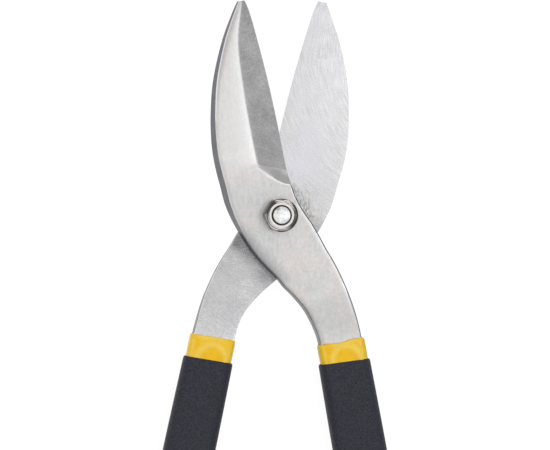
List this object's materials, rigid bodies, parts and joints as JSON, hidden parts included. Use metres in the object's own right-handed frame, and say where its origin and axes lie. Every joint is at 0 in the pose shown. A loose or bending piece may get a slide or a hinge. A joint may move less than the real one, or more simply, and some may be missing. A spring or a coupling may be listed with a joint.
{
  "type": "tin snips",
  "caption": "Straight-pattern forged tin snips with crossed blades on one bolted pivot and sleeved handles, for cutting sheet metal.",
  "frame": {"origin": "centre of the pivot bolt head's flat outer face, on the pivot axis, at the lowest point of the tool as it lies flat", "axes": "+Z along the pivot axis from the bolt head to the nut, +Y from the pivot towards the blade tips, midway between the blades, +X to the right as seen from the nut's side"},
  "size_m": [0.1098, 0.2439, 0.0257],
  "materials": {
    "forged_steel": "satin, ground and polished",
    "nickel_hardware": "bright nickel plate",
    "nylon_ring": "natural nylon",
    "yellow_vinyl": "glossy soft vinyl",
    "black_vinyl": "matte textured vinyl"
  },
  "bodies": {
    "rear_half": {"rear_blade_half": "forged_steel", "rear_inner_sleeve": "yellow_vinyl", "rear_handle_grip": "black_vinyl", "pivot_bolt": "nickel_hardware", "nut_washer": "nickel_hardware", "lock_nut": "nickel_hardware", "nut_locking_ring": "nylon_ring"},
    "front_half": {"front_blade_half": "forged_steel", "front_inner_sleeve": "yellow_vinyl", "front_handle_grip": "black_vinyl"}
  },
  "joints": [
    {"name": "jaw_pivot", "type": "hinge", "parent": "rear_half", "child": "front_half", "pos_m": [0, 0, 0.0097], "axis": [0, 0, 1], "range_deg": [-19.4, 25.6]}
  ]
}
